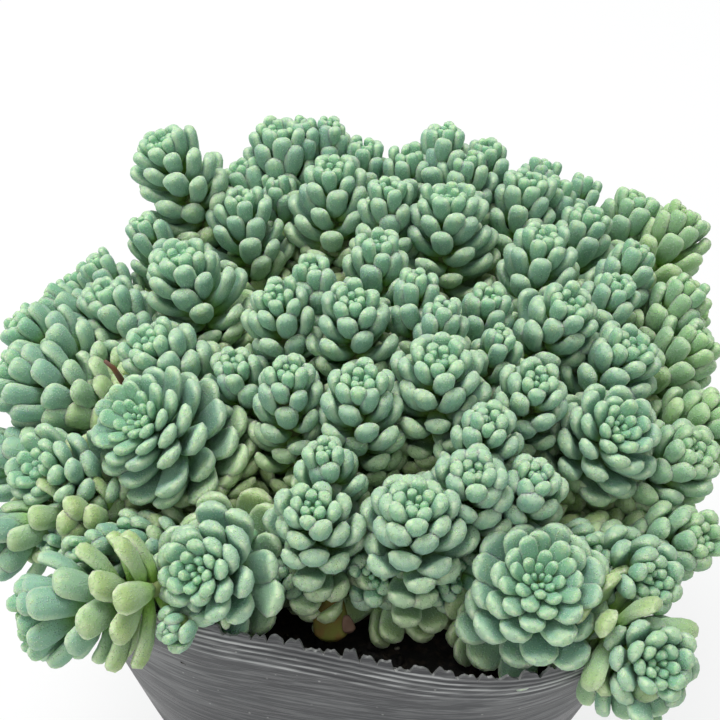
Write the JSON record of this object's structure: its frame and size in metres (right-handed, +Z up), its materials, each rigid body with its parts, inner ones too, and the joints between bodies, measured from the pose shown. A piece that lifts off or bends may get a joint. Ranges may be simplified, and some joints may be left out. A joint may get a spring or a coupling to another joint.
{
  "type": "potted sedum",
  "caption": "Dense cushion of plump-leaved blue-green succulent rosettes on branching stems, overflowing a soft black tapered nursery pot of soil.",
  "frame": {"origin": "middle of the flat foot of the pot, on the surface that it stands on", "axes": "+Z up; -Y is the front, where the rim shows below the leaves; +X to the right"},
  "size_m": [0.1252, 0.1145, 0.1103],
  "materials": {
    "pot_film": "thin black polythene film, dull sheen with a grey haze, fine ribs and a ragged rim",
    "soil": "near-black crumbly peat and bark potting mix, fully matt",
    "stem": "dull green to brown bare stems, matt",
    "leaf": "plump blue-green leaves with a pale waxy bloom, finely pimpled, yellow-green towards tips and bases"
  },
  "bodies": {
    "root": {"back_rosette_1": "leaf", "back_rosette_10": "leaf", "back_rosette_11": "leaf", "back_rosette_2": "leaf", "back_rosette_3": "leaf", "back_rosette_4": "leaf", "back_rosette_5": "leaf", "back_rosette_6": "leaf", "back_rosette_7": "leaf", "back_rosette_8": "leaf", "back_rosette_9": "leaf", "crown_rosette_1": "leaf", "crown_rosette_2": "leaf", "crown_rosette_3": "leaf", "crown_rosette_4": "leaf", "crown_rosette_5": "leaf", "crown_rosette_6": "leaf", "crown_rosette_7": "leaf", "crown_rosette_8": "leaf", "crown_rosette_9": "leaf", "front_rosette_1": "leaf", "front_rosette_2": "leaf", "front_rosette_3": "leaf", "front_rosette_4": "leaf", "front_rosette_5": "leaf", "front_rosette_6": "leaf", "left_rosette_1": "leaf", "left_rosette_2": "leaf", "left_rosette_3": "leaf", "left_rosette_4": "leaf", "left_rosette_5": "leaf", "left_rosette_6": "leaf", "left_rosette_7": "leaf", "left_rosette_8": "leaf", "left_rosette_9": "leaf", "pot": "pot_film", "rear_rosette_1": "leaf", "rear_rosette_2": "leaf", "rear_rosette_3": "leaf", "rear_rosette_4": "leaf", "rear_rosette_5": "leaf", "rear_rosette_6": "leaf", "rear_rosette_7": "leaf", "right_rosette_1": "leaf", "right_rosette_10": "leaf", "right_rosette_2": "leaf", "right_rosette_3": "leaf", "right_rosette_4": "leaf", "right_rosette_5": "leaf", "right_rosette_6": "leaf", "right_rosette_7": "leaf", "right_rosette_8": "leaf", "right_rosette_9": "leaf", "soil": "soil", "stems_back": "stem", "stems_front": "stem", "stems_left_back": "stem", "stems_left_front": "stem", "stems_right_back": "stem", "stems_right_front": "stem"}
  },
  "joints": []
}
